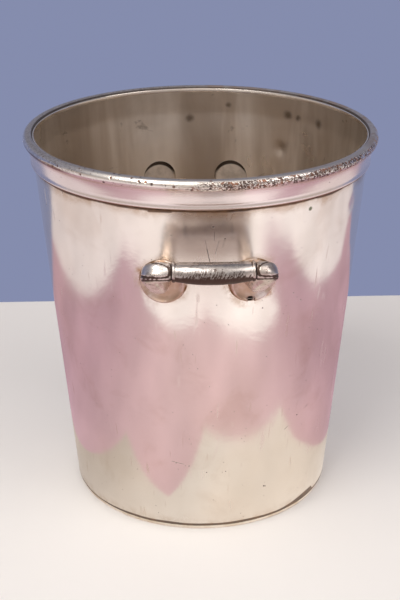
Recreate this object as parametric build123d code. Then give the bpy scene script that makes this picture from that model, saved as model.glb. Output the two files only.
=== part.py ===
from build123d import *
from math import cos, radians, sin
import os

# A two-handled silver-plated champagne bucket. Millimetres and degrees.
# +Z is up and the origin is the centre of the base, on the surface it stands on.
# The front handle is on the -Y side, the back one is its copy turned half round Z.

# Body: a straight-sided cone that widens upwards
BASE_R = 80.0              # outer radius that the cone would have at z = 0
FLARE = 0.0905             # rise of the outer radius for each millimetre of height
SHELL_T = 1.1              # gauge of the sheet, measured radially
SHELL_BOTTOM_Z = 2.8
BAND_Z = 211.4             # lower edge of the rim band; above it the wall stands nearly upright
LIP_Z = 227.5              # top edge of the sheet, showing as a thin lip inside the bead
LIP_R = 99.6               # outer radius of that lip

# Rim
BEAD_R = 101.84            # radius of the bead's centre line
BEAD_SECTION_R = 3.16
BEAD_Z = 225.73
BAND_FOOT_R = 101.1        # outer radius of the band at its lower edge
BAND_WAIST_R = 100.9       # outer radius at the hollow of the cove
BAND_WAIST_Z = 214.4
BAND_TOP_R = 103.1         # outer radius where the cove runs into the bead
SEAM_DROP = 1.3            # height of the solder line below the band
SEAM_OUT = 1.4

# Foot and floor
FOOT_R = 79.3
FOOT_WIDTH = 4.3
FOOT_H = 2.2
FOOT_ROUND = 0.7
FOOT_SEAM_SET_BACK = 0.5   # the solder sits this far inside the foot's outer face
FLOOR_Z = 8.0              # underside of the floor
FLOOR_T = 1.2
FLOOR_STEP_R = 62.0        # radius of the shallow stiffening step pressed in the floor
FLOOR_STEP_H = 1.5
FILLET_LEG = 2.2           # solder fillet between the floor and the wall

# Handles
CUP_Z = 168.0              # height of the cups' centres
CUP_AZIMUTH = 14.8         # each side of the handle's centre line
CUP_R = 12.4
CUP_HOLLOW_R = 11.5        # also the radius of the hole in the wall behind it
CUP_LIP_H = 2.9            # how far the lip stands out of the wall
CUP_DISH_H = 1.3           # how far the bottom of the dish stands out
CUP_SHEET = 1.0
CUP_FLAT_R = 8.3           # flat bottom of the dish
SOLDER_H = 1.1
SOLDER_BASE_R = 17.2       # where the slope of the solder reaches BELOW_WALL, before trimming
SPIGOT_R = 3.0             # the arm's spigot, in a hole through the dish
ARM_SEAT_UP = 1.7          # the arm stands this far above the cup's centre
ARM_R = 4.9
ARM_FOOT_R = 5.3
ARM_FOOT_H = 2.4
ARM_STRAIGHT = 7.0         # straight run out of the cup
ARM_CORNER_U = 32.4        # where the arm's line meets the bar's line, from the centre
ARM_LOW_RADIUS = 9.0
ARM_ELBOW_RADIUS = 5.0
ARM_DOME = 1.6             # length of the rounded knob that faces the collar
ARM_KNOB_R = 5.1
ARM_FACE_R = 4.0
BAR_Z = 185.2
BAR_STANDOFF = 25.0        # wall to the bar's line, at the bar's height
BAR_HALF = 19.75
BAR_SHIFT = 1.85           # the bar sits off centre, so one elbow is longer
BAR_BOW = 3.0              # the bar's middle stands further out than its ends
BAR_END_R = 5.1
BAR_MID_R = 6.1
BAR_SECTIONS = 7
BAR_ROUND = 0.6
COLLAR_W = 2.4
COLLAR_R = 5.55
COLLAR_EDGE_R = 4.85
TENON_R = 2.4
TENON_IN_ELBOW = 3.6
CHIP_OUTLINE = [(-3.4, -9.7), (-1.8, -8.9), (0.9, -9.3), (1.9, -10.5), (1.1, -13.0), (-2.5, -13.0)]
CHIP_FLOOR = 0.5           # the broken edge stops this far out of the wall

BELOW_WALL = 3.0           # how far trimmed solids reach below the wall's face before trimming


def outer_r(z):
    """Outer radius of the cone at height z."""
    return BASE_R + FLARE * z


def ring(points):
    """A solid of revolution about Z from an outline of (radius, height) points."""
    return revolve(make_face(Plane.XZ * Polyline(*points, close=True)), Axis.Z)


def disc(radius, low, high):
    return Pos(0, 0, low) * Cylinder(radius, high - low, align=(Align.CENTER, Align.CENTER, Align.MIN))


def filled_wall():
    """The solid that the outer face of the wall would bound, for trimming what sits on it."""
    return ring([(0, 0), (outer_r(0), 0), (outer_r(BAND_Z), BAND_Z), (0, BAND_Z)])


def cup_plane(side):
    """Plane on the wall at a cup's centre, its z axis straight out of the wall."""
    azimuth = radians(CUP_AZIMUTH) * side
    radius = outer_r(CUP_Z)
    origin = Vector(radius * sin(azimuth), -radius * cos(azimuth), CUP_Z)
    out = Vector(sin(azimuth), -cos(azimuth), -FLARE)
    across = Vector(cos(azimuth), sin(azimuth), 0)
    return Plane(origin=origin, x_dir=across, z_dir=out)


def arm_seat(side):
    """Plane on the bottom of the dish where an arm stands, a little above the cup's centre."""
    cup_face = cup_plane(side)
    origin = cup_face.origin + cup_face.y_dir * ARM_SEAT_UP + cup_face.z_dir * CUP_DISH_H
    return Plane(origin=origin, x_dir=cup_face.x_dir, z_dir=cup_face.z_dir)


def body_shell():
    lip_in = LIP_R - SHELL_T
    wall = ring([
        (outer_r(SHELL_BOTTOM_Z), SHELL_BOTTOM_Z),
        (outer_r(BAND_Z), BAND_Z),
        (LIP_R, LIP_Z - SHELL_T / 3),
        (LIP_R - SHELL_T / 3, LIP_Z),
        (lip_in + SHELL_T / 3, LIP_Z),
        (lip_in, LIP_Z - SHELL_T / 3),
        (outer_r(BAND_Z) - SHELL_T, BAND_Z),
        (outer_r(SHELL_BOTTOM_Z) - SHELL_T, SHELL_BOTTOM_Z),
    ])
    for turn in (0, 180):
        for side in (-1, 1):
            hole = cup_plane(side).location * Cylinder(CUP_HOLLOW_R, 4 * BELOW_WALL)
            wall -= Rot(0, 0, turn) * hole
    return wall


def bead_section():
    """Round section, cut flat where it lies against the upright lip of the sheet."""
    against_lip = Pos(LIP_R - BEAD_SECTION_R, BEAD_Z) * Rectangle(2 * BEAD_SECTION_R, 4 * BEAD_SECTION_R)
    return Pos(BEAD_R, BEAD_Z) * Circle(BEAD_SECTION_R) - against_lip


def rim_bead():
    return revolve(Plane.XZ * bead_section(), Axis.Z)


def rim_band():
    """Cove moulding: a rounded lower edge, a hollow, and a sweep out to the bead."""
    edge = (BAND_FOOT_R - 0.6, BAND_Z)
    foot = (BAND_FOOT_R, BAND_Z + 1.0)
    waist = (BAND_WAIST_R, BAND_WAIST_Z)
    top = (BAND_TOP_R, BEAD_Z - BEAD_SECTION_R + 0.4)
    outline = Curve() + [
        Polyline((LIP_R, BEAD_Z), (outer_r(BAND_Z), BAND_Z), edge),
        Spline(edge, foot, tangents=((1, 0.2), (0, 1))),
        Spline(foot, waist, top, tangents=((-0.1, 1), (0.35, 1))),
        Polyline(top, (BEAD_R, BEAD_Z), (LIP_R, BEAD_Z)),
    ]
    section = make_face(outline) - bead_section()
    return revolve(Plane.XZ * section, Axis.Z)


def rim_seam():
    return ring([
        (outer_r(BAND_Z), BAND_Z),
        (outer_r(BAND_Z) + SEAM_OUT, BAND_Z),
        (outer_r(BAND_Z) + SEAM_OUT * 0.4, BAND_Z - SEAM_DROP * 0.45),
        (outer_r(BAND_Z - SEAM_DROP), BAND_Z - SEAM_DROP),
    ])


def foot_ring():
    inner = FOOT_R - FOOT_WIDTH
    section = Plane.XZ * Pos((FOOT_R + inner) / 2, FOOT_H / 2) * RectangleRounded(
        FOOT_WIDTH, FOOT_H, FOOT_ROUND)
    return revolve(section, Axis.Z)


def foot_seam():
    return ring([
        (FOOT_R - FOOT_WIDTH + FOOT_ROUND + 0.2, FOOT_H),
        (FOOT_R - FOOT_ROUND, FOOT_H),
        (FOOT_R - FOOT_SEAM_SET_BACK, SHELL_BOTTOM_Z),
        (FOOT_R - FOOT_WIDTH + FOOT_ROUND + 0.2, SHELL_BOTTOM_Z),
    ])


def bottom_plate():
    """A pan with a shallow step, its flange turned down inside the wall."""
    top = FLOOR_Z + FLOOR_T
    edge = outer_r(top) - SHELL_T
    foot = outer_r(SHELL_BOTTOM_Z) - SHELL_T
    return ring([
        (0, FLOOR_Z + FLOOR_STEP_H),
        (FLOOR_STEP_R, FLOOR_Z + FLOOR_STEP_H),
        (FLOOR_STEP_R + FLOOR_STEP_H * 2, FLOOR_Z),
        (edge - FLOOR_T, FLOOR_Z),
        (foot - FLOOR_T, SHELL_BOTTOM_Z),
        (foot, SHELL_BOTTOM_Z),
        (edge, top),
        (FLOOR_STEP_R + FLOOR_STEP_H * 2 + 0.4, top),
        (FLOOR_STEP_R + 0.4, top + FLOOR_STEP_H),
        (0, top + FLOOR_STEP_H),
    ])


def bottom_solder():
    low = FLOOR_Z + FLOOR_T
    edge = outer_r(low) - SHELL_T
    return ring([
        (edge, low),
        (outer_r(low + FILLET_LEG) - SHELL_T, low + FILLET_LEG),
        (edge - FILLET_LEG * 0.35, low + FILLET_LEG * 0.4),
        (edge - FILLET_LEG, low),
    ])


def cup(side, wall, chipped=False):
    """A thin hollow dish over a hole in the wall, with a rolled lip and a hole for the arm's spigot."""
    outline = Curve() + [
        Polyline((0, CUP_DISH_H), (CUP_FLAT_R, CUP_DISH_H)),
        Spline((CUP_FLAT_R, CUP_DISH_H), (CUP_R - 1.7, CUP_LIP_H), tangents=((1, 0.05), (1, 0.25))),
        ThreePointArc((CUP_R - 1.7, CUP_LIP_H), (CUP_R - 0.35, CUP_LIP_H - 0.35), (CUP_R, CUP_LIP_H - 1.3)),
        Polyline(
            (CUP_R, CUP_LIP_H - 1.3),
            (CUP_R, -BELOW_WALL),
            (CUP_HOLLOW_R, -BELOW_WALL),
            (CUP_HOLLOW_R, CUP_LIP_H - CUP_SHEET - 0.3),
            (CUP_HOLLOW_R - 0.7, CUP_LIP_H - CUP_SHEET),
            (CUP_FLAT_R + 0.6, CUP_DISH_H - CUP_SHEET),
            (0, CUP_DISH_H - CUP_SHEET),
            (0, CUP_DISH_H),
        ),
    ]
    dish = revolve(make_face(Plane.XZ * outline), Axis.Z)
    dish -= Pos(0, ARM_SEAT_UP, CUP_DISH_H) * Cylinder(SPIGOT_R, 4 * CUP_SHEET)
    if chipped:
        chip = extrude(make_face(Polyline(*CHIP_OUTLINE, close=True)), CUP_LIP_H + 1)
        dish -= Pos(0, 0, CHIP_FLOOR) * chip
    return cup_plane(side).location * dish - wall


def cup_solder(side, wall):
    """Sloping ring of solder, wider at the cup's sides, where the round wall falls away."""
    slope = ring([(CUP_R, -BELOW_WALL), (SOLDER_BASE_R, -BELOW_WALL), (CUP_R, SOLDER_H)])
    return cup_plane(side).location * slope - wall


def bar_line_y():
    """Where the bar's straight line lies, on the front side."""
    return -(outer_r(BAR_Z) + BAR_STANDOFF)


def bar_frame(u, towards):
    """Plane across the bar's line at u, facing left (-1) or right (1)."""
    return Plane(origin=(u, bar_line_y(), BAR_Z), x_dir=(0, 1, 0), z_dir=(towards, 0, 0))


def arm(side):
    """Cast arm: spigot and flared foot on the cup, a rise, an elbow and a domed end."""
    seat = arm_seat(side)
    collar_u = BAR_SHIFT + side * (BAR_HALF + COLLAR_W)
    end_u = collar_u + side * ARM_DOME
    path = FilletPolyline(
        seat.origin,
        seat.origin + seat.z_dir * ARM_STRAIGHT,
        (side * ARM_CORNER_U, bar_line_y(), BAR_Z),
        (end_u, bar_line_y(), BAR_Z),
        radius=[ARM_LOW_RADIUS, ARM_ELBOW_RADIUS],
    )
    tube = sweep(seat * Circle(ARM_R), path=path)
    knob_outline = Curve() + [
        Polyline((0, -ARM_DOME), (0, ARM_DOME), (ARM_FACE_R, ARM_DOME)),
        ThreePointArc((ARM_FACE_R, ARM_DOME), (ARM_KNOB_R, 0.1), (ARM_R - 0.4, -ARM_DOME)),
        Line((ARM_R - 0.4, -ARM_DOME), (0, -ARM_DOME)),
    ]
    knob = bar_frame(end_u, -side).location * revolve(make_face(Plane.XZ * knob_outline), Axis.Z)
    foot_outline = Curve() + [
        Polyline((0, ARM_FOOT_H), (0, -CUP_SHEET), (SPIGOT_R, -CUP_SHEET), (SPIGOT_R, 0), (ARM_FOOT_R, 0)),
        Polyline((ARM_FOOT_R, 0), (ARM_FOOT_R, 0.5)),
        ThreePointArc((ARM_FOOT_R, 0.5), (ARM_R + 0.05, 1.1), (ARM_R - 0.4, ARM_FOOT_H)),
        Polyline((ARM_R - 0.4, ARM_FOOT_H), (0, ARM_FOOT_H)),
    ]
    foot = seat.location * revolve(make_face(Plane.XZ * foot_outline), Axis.Z)
    socket = bar_frame(collar_u, side).location * disc(TENON_R, -COLLAR_W, TENON_IN_ELBOW)
    return tube + knob + foot - socket


def collar(side):
    half = COLLAR_W / 2
    outline = Curve() + [
        Polyline((COLLAR_EDGE_R, -half), (TENON_R, -half), (TENON_R, half), (COLLAR_EDGE_R, half)),
        ThreePointArc((COLLAR_EDGE_R, half), (COLLAR_R, 0), (COLLAR_EDGE_R, -half)),
    ]
    middle_u = BAR_SHIFT + side * (BAR_HALF + half)
    return bar_frame(middle_u, 1).location * revolve(make_face(Plane.XZ * outline), Axis.Z)


def grip_bar():
    """A bar that swells and bows out in the middle, with a round tenon at each end."""
    sections = []
    for index in range(BAR_SECTIONS):
        along = 2 * index / (BAR_SECTIONS - 1) - 1
        swell = 1 - along ** 2
        frame = bar_frame(BAR_SHIFT + along * BAR_HALF, 1)
        centre = frame.origin - Vector(0, BAR_BOW * swell, 0)
        section_r = BAR_END_R + (BAR_MID_R - BAR_END_R) * swell
        sections.append(Plane(origin=centre, x_dir=frame.x_dir, z_dir=frame.z_dir) * Circle(section_r))
    bar = loft(sections)
    ends = bar.faces().sort_by(Axis.X)
    bar = fillet(ends[0].edges() + ends[-1].edges(), BAR_ROUND)
    reach = BAR_HALF + COLLAR_W + TENON_IN_ELBOW
    return bar + bar_frame(BAR_SHIFT, 1).location * Cylinder(TENON_R, 2 * reach)


def handle_pieces(wall):
    """One handle on the front side, as a dictionary from piece name to solid."""
    pieces = {"grip_bar": grip_bar()}
    for name, side in (("left", -1), ("right", 1)):
        pieces[name + "_collar"] = collar(side)
        pieces[name + "_arm"] = arm(side)
        pieces[name + "_cup"] = cup(side, wall)
        pieces[name + "_solder"] = cup_solder(side, wall)
    return pieces


wall = filled_wall()
nodes = {
    "body_shell": body_shell(),
    "rim_bead": rim_bead(),
    "rim_band": rim_band(),
    "rim_seam": rim_seam(),
    "foot_ring": foot_ring(),
    "foot_seam": foot_seam(),
    "bottom_plate": bottom_plate(),
    "bottom_solder": bottom_solder(),
}
for piece, solid in handle_pieces(wall).items():
    nodes["front_" + piece] = solid
    nodes["back_" + piece] = Rot(0, 0, 180) * solid
nodes["front_right_cup"] = cup(1, wall, chipped=True)

os.makedirs("parts", exist_ok=True)
for name, shape in nodes.items():
    export_step(shape, "parts/" + name + ".step")
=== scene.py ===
"""The looks of a two-handled silver-plated champagne bucket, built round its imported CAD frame.

Shapes are worked out in millimetres and turned into metres when a mesh is made. +Z is up, the front
handle is on the -Y side, and an azimuth of 0 points at it, growing towards +X.
"""

from math import asin, cos, degrees, hypot, pi, radians, sin, tan

import bpy
import bmesh
import numpy as np
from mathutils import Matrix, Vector

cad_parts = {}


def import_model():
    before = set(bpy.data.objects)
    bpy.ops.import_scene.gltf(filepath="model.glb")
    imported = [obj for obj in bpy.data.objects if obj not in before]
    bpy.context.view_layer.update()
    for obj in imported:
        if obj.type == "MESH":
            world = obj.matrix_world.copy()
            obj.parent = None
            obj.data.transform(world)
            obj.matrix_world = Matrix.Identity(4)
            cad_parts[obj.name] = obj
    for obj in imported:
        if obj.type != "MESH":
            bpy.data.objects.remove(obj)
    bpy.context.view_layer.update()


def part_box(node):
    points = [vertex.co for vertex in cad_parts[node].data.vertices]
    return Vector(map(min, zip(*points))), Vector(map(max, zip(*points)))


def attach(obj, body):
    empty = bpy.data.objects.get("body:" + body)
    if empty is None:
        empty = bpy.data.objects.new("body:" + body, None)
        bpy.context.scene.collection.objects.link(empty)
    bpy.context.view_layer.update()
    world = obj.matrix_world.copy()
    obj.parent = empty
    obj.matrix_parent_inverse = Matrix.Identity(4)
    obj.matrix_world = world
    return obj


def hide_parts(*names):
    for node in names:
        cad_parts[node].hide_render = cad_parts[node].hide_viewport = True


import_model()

MM = 0.001


def node_box(node):
    """Lowest and highest corner of a CAD node, in millimetres."""
    low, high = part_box(node)
    return low / MM, high / MM


# ---------------------------------------------------------------- sizes, from the frame

shell_low, shell_high = node_box("body_shell")
bead_low, bead_high = node_box("rim_bead")
band_low = node_box("rim_band")[0]
foot_high = node_box("foot_ring")[1]
floor_low, floor_high = node_box("bottom_plate")
bar_low, bar_high = node_box("front_grip_bar")
collar_low, collar_high = node_box("front_left_collar")

SHELL_T = 1.1
SHELL_BOTTOM_Z = shell_low.z
LIP_Z = shell_high.z
LIP_R = shell_high.x
BAND_Z = band_low.z
FLARE = 0.0905
BASE_R = 80.0

BEAD_SECTION_R = (bead_high.z - bead_low.z) / 2
BEAD_Z = (bead_high.z + bead_low.z) / 2
BEAD_R = bead_high.x - BEAD_SECTION_R

BAND_FOOT_R = 101.1
BAND_WAIST_R = 100.9
BAND_WAIST_Z = 214.4
BAND_TOP_R = 103.1

FOOT_R = foot_high.x
FOOT_WIDTH = 4.3
FOOT_H = foot_high.z
FOOT_ROUND = 0.7

FLOOR_T = 1.2
FLOOR_STEP_R = 62.0
FLOOR_STEP_H = 1.5
FILLET_LEG = 2.2

CUP_Z = 168.0
CUP_AZIMUTH = 14.8
CUP_R = 12.4
CUP_HOLLOW_R = 11.5
CUP_LIP_H = 2.9
CUP_DISH_H = 1.3
CUP_SHEET = 1.0
CUP_FLAT_R = 8.3

ARM_SEAT_UP = 1.7
ARM_R = 4.9
BAR_Z = (collar_low.z + collar_high.z) / 2
BAR_Y = (collar_low.y + collar_high.y) / 2
COLLAR_W = collar_high.x - collar_low.x
COLLAR_R = (collar_high.z - collar_low.z) / 2
BAR_HALF = 19.75
BAR_SHIFT = (bar_low.x + bar_high.x) / 2
BAR_BOW = 3.0
BAR_END_R = 5.1
BAR_MID_R = (bar_high.z - bar_low.z) / 2
BAR_ROUND = 0.8
ARM_CORNER_U = 32.4
ARM_STRAIGHT = 7.0
ARM_LOW_RADIUS = 9.0
ARM_ELBOW_RADIUS = 5.0
ARM_DOME = 1.6
ARM_FACE_R = 4.0


def outer_r(z):
    """Outer radius of the wall: a cone, then nearly upright behind the rim band."""
    upright = (z - BAND_Z) / (LIP_Z - BAND_Z)
    cone = BASE_R + FLARE * np.minimum(z, BAND_Z)
    return cone + np.clip(upright, 0, 1) * (LIP_R - BASE_R - FLARE * BAND_Z)


# ---------------------------------------------------------------- small geometry tools


def smooth(low, high, value):
    """0 at low and 1 at high, eased between. With low above high it falls instead."""
    t = np.clip((value - low) / (high - low), 0, 1)
    return t * t * (3 - 2 * t)


def ripple(azimuth, height, seed, size, count=14):
    """Smooth seeded unevenness from -1 to 1 over a round wall. size is its wavelength in mm."""
    rng = np.random.default_rng(seed)
    total = np.zeros(np.broadcast(azimuth, height).shape)
    around = 2 * pi * 90 / size
    for _ in range(count):
        heading = rng.uniform(0, 2 * pi)
        stretch = rng.uniform(0.6, 1.5)
        turns = round(around * stretch * cos(heading))
        rise = 2 * pi / size * stretch * sin(heading)
        total += np.sin(turns * azimuth + rise * height + rng.uniform(0, 2 * pi))
    return total / (count ** 0.5 * 1.6)


def from_azimuth(radius, azimuth, z):
    """Points from radius, azimuth in radians and height."""
    return np.stack([radius * np.sin(azimuth), -radius * np.cos(azimuth), z + 0 * azimuth * radius], -1)


def mesh_object(name, points, faces, sharp_angle=40, grime_and_shade=None):
    """A smooth-shaded object from points in millimetres and lists of point numbers.

    The optional mask, from 0 to 1 for each point (dirt in grooves and painted shade on undersides), is kept
    on the mesh for its material.
    """
    mesh = bpy.data.meshes.new(name)
    mesh.from_pydata((np.asarray(points) * MM).tolist(), [], faces)
    mesh.validate()
    if grime_and_shade is not None:
        mesh.attributes.new("grime_and_shade", "FLOAT", "POINT").data.foreach_set("value", np.ravel(grime_and_shade))
    work = bmesh.new()
    work.from_mesh(mesh)
    bmesh.ops.recalc_face_normals(work, faces=work.faces)
    work.to_mesh(mesh)
    work.free()
    mesh.shade_smooth()
    mesh.set_sharp_from_angle(angle=radians(sharp_angle))
    obj = bpy.data.objects.new(name, mesh)
    bpy.context.scene.collection.objects.link(obj)
    return obj


def grid_faces(rows, columns, closed=True):
    """Quads over a grid whose columns close into a loop, and its rows too where it is closed."""
    faces = []
    for row in range(rows if closed else rows - 1):
        above = (row + 1) % rows
        for column in range(columns):
            after = (column + 1) % columns
            faces.append((row * columns + column, row * columns + after,
                          above * columns + after, above * columns + column))
    return faces


def round_steps(count):
    """Evenly spaced angles once round, in radians."""
    return np.arange(count) * 2 * pi / count


def wrapped(angle):
    """The same angle between -pi and pi."""
    return (angle + pi) % (2 * pi) - pi


def ring_object(name, profile, columns, uneven):
    """A solid of revolution about Z. uneven(azimuth, height) gives each point's outward shift in mm."""
    profile = np.asarray(profile, float)
    azimuth = round_steps(columns)[None, :]
    height = np.repeat(profile[:, 1:], columns, 1)
    radius = np.repeat(profile[:, :1], columns, 1) + uneven(azimuth, height)
    points = from_azimuth(radius, azimuth, height).reshape(-1, 3)
    return mesh_object(name, points, grid_faces(len(profile), columns))


def arc_points(centre, radius, start, end, count):
    """Points on an arc in the (radius, height) plane, angles in degrees."""
    angles = np.radians(np.linspace(start, end, count))
    return np.stack([centre[0] + radius * np.cos(angles), centre[1] + radius * np.sin(angles)], -1)


def evenly(points, step=None, count=None):
    """A line's points spaced evenly by length, and how far along it each one lies."""
    length = np.concatenate([[0], np.cumsum(np.linalg.norm(np.diff(points, axis=0), axis=1))])
    at = np.linspace(0, length[-1], count or int(length[-1] / step))
    return np.stack([np.interp(at, length, column) for column in points.T], -1), at


def curve_through(points, count):
    """A smooth Catmull-Rom line through points, as count points evenly spread by length."""
    points = np.asarray(points, float)
    padded = np.vstack([2 * points[0] - points[1], points, 2 * points[-1] - points[-2]])
    dense = []
    for i in range(len(points) - 1):
        a, b, c, d = padded[i:i + 4]
        for t in np.linspace(0, 1, 24, endpoint=False):
            dense.append(0.5 * (2 * b + (c - a) * t + (2 * a - 5 * b + 4 * c - d) * t * t
                                + (3 * b - a - 3 * c + d) * t ** 3))
    dense = np.vstack([dense, points[-1:]])
    return evenly(dense, count=count)[0]


def rounded_path(corners, radii, step):
    """Straight runs joined by tangent arcs, as closely spaced points."""
    corners = [np.asarray(c, float) for c in corners]
    points = [corners[0]]
    for i, radius in enumerate(radii, start=1):
        back = corners[i - 1] - corners[i]
        ahead = corners[i + 1] - corners[i]
        back /= np.linalg.norm(back)
        ahead /= np.linalg.norm(ahead)
        half = np.arccos(np.clip(back @ ahead, -1, 1)) / 2
        reach = radius / tan(half)
        middle = (back + ahead) / np.linalg.norm(back + ahead)
        centre = corners[i] + middle * radius / sin(half)
        first = corners[i] + back * reach - centre
        last = corners[i] + ahead * reach - centre
        sweep = pi - 2 * half
        for t in np.linspace(0, 1, max(3, int(radius * sweep / step))):
            points.append(centre + (first * sin((1 - t) * sweep) + last * sin(t * sweep)) / sin(sweep))
    points.append(corners[-1])
    return evenly(np.array(points), step=step)


def tube_rings(line, sides):
    """For rings round a line: their centres, the outward direction of each point and its turn."""
    line = np.asarray(line, float)
    tangent = np.gradient(line, axis=0)
    tangent /= np.linalg.norm(tangent, axis=1)[:, None]
    side = np.cross(tangent[0], (0, 0, 1))
    turn = round_steps(sides)
    outward = []
    for i in range(len(line)):
        side = side - tangent[i] * (side @ tangent[i])
        side /= np.linalg.norm(side)
        up = np.cross(side, tangent[i])
        outward.append(np.outer(np.cos(turn), side) + np.outer(np.sin(turn), up))
    return line[:, None, :], np.array(outward), turn


def tube_object(name, rings, grime_and_shade):
    """A closed tube from rings of points, each end filled by a fan."""
    count, sides = rings.shape[:2]
    ends = rings[[0, -1]].mean(1)
    points = np.vstack([rings.reshape(-1, 3), ends])
    shade = np.concatenate([grime_and_shade.ravel(), grime_and_shade[[0, -1]].mean(1)])
    faces = grid_faces(count, sides, closed=False)
    start, end = len(points) - 2, len(points) - 1
    last = (count - 1) * sides
    for k in range(sides):
        faces.append((start, (k + 1) % sides, k))
        faces.append((end, last + k, last + (k + 1) % sides))
    return mesh_object(name, points, faces, grime_and_shade=shade)


def show(obj, node, *materials):
    """Puts a finished piece in the place of its CAD node."""
    for material in materials:
        obj.data.materials.append(material)
    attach(obj, "root")
    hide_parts(node)
    return obj


# ---------------------------------------------------------------- material tools


class Paint:
    """A material or a world whose values and colours are built up in layers."""

    def __init__(self, owner, coordinates="Object"):
        """owner is a world, or the name of a material to make."""
        self.owner = bpy.data.materials.new(owner) if isinstance(owner, str) else owner
        self.owner.use_nodes = True
        self.nodes = self.owner.node_tree.nodes
        self.links = self.owner.node_tree.links
        self.place = self.nodes.new("ShaderNodeTexCoord").outputs[coordinates]

    def node(self, kind, inputs=(), **settings):
        made = self.nodes.new(kind)
        for key, value in settings.items():
            setattr(made, key, value)
        for key, value in dict(inputs).items():
            self.feed(made.inputs[key], value)
        return made

    def feed(self, socket, value):
        if isinstance(value, bpy.types.NodeSocket):
            self.links.new(value, socket)
        else:
            socket.default_value = value

    def math(self, operation, a, b=0.0, clamp=False):
        made = self.node("ShaderNodeMath", {0: a, 1: b}, operation=operation)
        made.use_clamp = clamp
        return made.outputs[0]

    def plus(self, a, b):
        return self.math("ADD", a, b)

    def less(self, a, b):
        return self.math("SUBTRACT", a, b)

    def rest(self, share):
        return self.less(1.0, share)

    def times(self, *values):
        total = values[0]
        for value in values[1:]:
            total = self.math("MULTIPLY", total, value)
        return total

    def most(self, *values):
        total = values[0]
        for value in values[1:]:
            total = self.math("MAXIMUM", total, value)
        return total

    def step(self, value, low, high):
        """0 below low, 1 above high, smooth between. With low above high it falls instead."""
        rising = low < high
        limits = (low, high) if rising else (high, low)
        made = self.node("ShaderNodeMapRange", {0: value, 1: limits[0], 2: limits[1],
                                                3: 0.0 if rising else 1.0, 4: 1.0 if rising else 0.0})
        made.interpolation_type = "SMOOTHSTEP"
        return made.outputs[0]

    def step_mm(self, value, low, high):
        """The same for a value in metres and limits in millimetres."""
        return self.step(value, low * MM, high * MM)

    def grime_and_shade(self):
        """The mask that the mesh code left on the piece: dirt in grooves and painted shade on undersides."""
        return self.node("ShaderNodeAttribute", attribute_name="grime_and_shade").outputs["Fac"]

    def axis(self, which):
        return self.node("ShaderNodeSeparateXYZ", {0: self.place}).outputs[which]

    def turn(self):
        """Azimuth in radians, 0 at the front handle."""
        return self.math("ARCTAN2", self.axis(0), self.math("MULTIPLY", self.axis(1), -1.0))

    def radius(self):
        flat = self.node("ShaderNodeVectorMath", {0: self.stretched((1, 1, 0))}, operation="LENGTH")
        return flat.outputs["Value"]

    def shaken(self, value, noise, size):
        """value with up to half of size, in mm, added or taken away."""
        return self.plus(value, self.times(self.less(noise, 0.5), size * MM))

    def stretched(self, scale, rotation=(0, 0, 0)):
        mapping = self.node("ShaderNodeMapping", {"Vector": self.place, "Scale": scale, "Rotation": rotation})
        return mapping.outputs[0]

    def noise(self, scale, detail=3.0, rough=0.5, distortion=0.0, place=None):
        made = self.node("ShaderNodeTexNoise", {
            "Vector": place or self.place, "Scale": scale, "Detail": detail,
            "Roughness": rough, "Distortion": distortion})
        return made.outputs["Fac"]

    def cells(self, scale, place=None):
        made = self.node("ShaderNodeTexVoronoi", {"Vector": place or self.place, "Scale": scale})
        return made.outputs["Distance"]

    def near(self, point):
        """Distance in metres to a point given in millimetres."""
        made = self.node("ShaderNodeVectorMath", {0: self.place, 1: tuple(c * MM for c in point)},
                         operation="DISTANCE")
        return made.outputs["Value"]

    def line(self, start, end, width):
        """A thin mark from start to end, in millimetres, that fades at its ends."""
        start, end = np.asarray(start, float), np.asarray(end, float)
        length = float(np.linalg.norm(end - start))
        along = (end - start) / length
        offset = self.node("ShaderNodeVectorMath", {0: self.place, 1: tuple(start * MM)},
                           operation="SUBTRACT").outputs[0]
        run = self.node("ShaderNodeVectorMath", {0: offset, 1: tuple(along)},
                        operation="DOT_PRODUCT").outputs["Value"]
        held = self.math("MINIMUM", self.math("MAXIMUM", run, 0.0), length * MM)
        foot = self.node("ShaderNodeVectorMath", {0: tuple(along)}, operation="SCALE")
        self.feed(foot.inputs["Scale"], held)
        gap = self.node("ShaderNodeVectorMath", {0: offset, 1: foot.outputs[0]},
                        operation="DISTANCE").outputs["Value"]
        return self.step(gap, width * MM, 0.3 * width * MM)

    def mix(self, amount, first, second):
        made = self.node("ShaderNodeMix", data_type="RGBA")
        self.feed(made.inputs[0], amount)
        self.feed(made.inputs[6], first if isinstance(first, bpy.types.NodeSocket) else (*first, 1))
        self.feed(made.inputs[7], second if isinstance(second, bpy.types.NodeSocket) else (*second, 1))
        return made.outputs[2]

    def blend(self, amount, first, second):
        """Between two plain values."""
        made = self.node("ShaderNodeMix", data_type="FLOAT")
        for socket, value in zip((0, 2, 3), (amount, first, second)):
            self.feed(made.inputs[socket], value)
        return made.outputs[0]

    def finish(self, colour, roughness, height, depth, metallic=1.0):
        """A metal's surface. depth is the height map's full range in millimetres."""
        bump = self.node("ShaderNodeBump", {"Height": height, "Distance": depth * MM, "Strength": 1.0})
        shader = self.nodes["Principled BSDF"].inputs
        self.feed(shader["Base Color"], colour)
        self.feed(shader["Roughness"], roughness)
        self.feed(shader["Metallic"], metallic)
        self.feed(shader["Normal"], bump.outputs[0])
        return self.owner


SILVER = (0.93, 0.87, 0.80)
SILVER_WARM = (0.86, 0.77, 0.67)
TARNISH = (0.42, 0.235, 0.10)
# Dark brown for dirt in pits, grooves and cracks; the cup recesses also use it for a painted shadow.
GRIME_AND_SHADOW = (0.045, 0.028, 0.02)
COPPER = (0.30, 0.12, 0.06)
# Near black for painted shadow in the chipped lip's opening.
SHADOW_BLACK = (0.012, 0.008, 0.006)
VERDIGRIS = (0.075, 0.10, 0.035)


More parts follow.
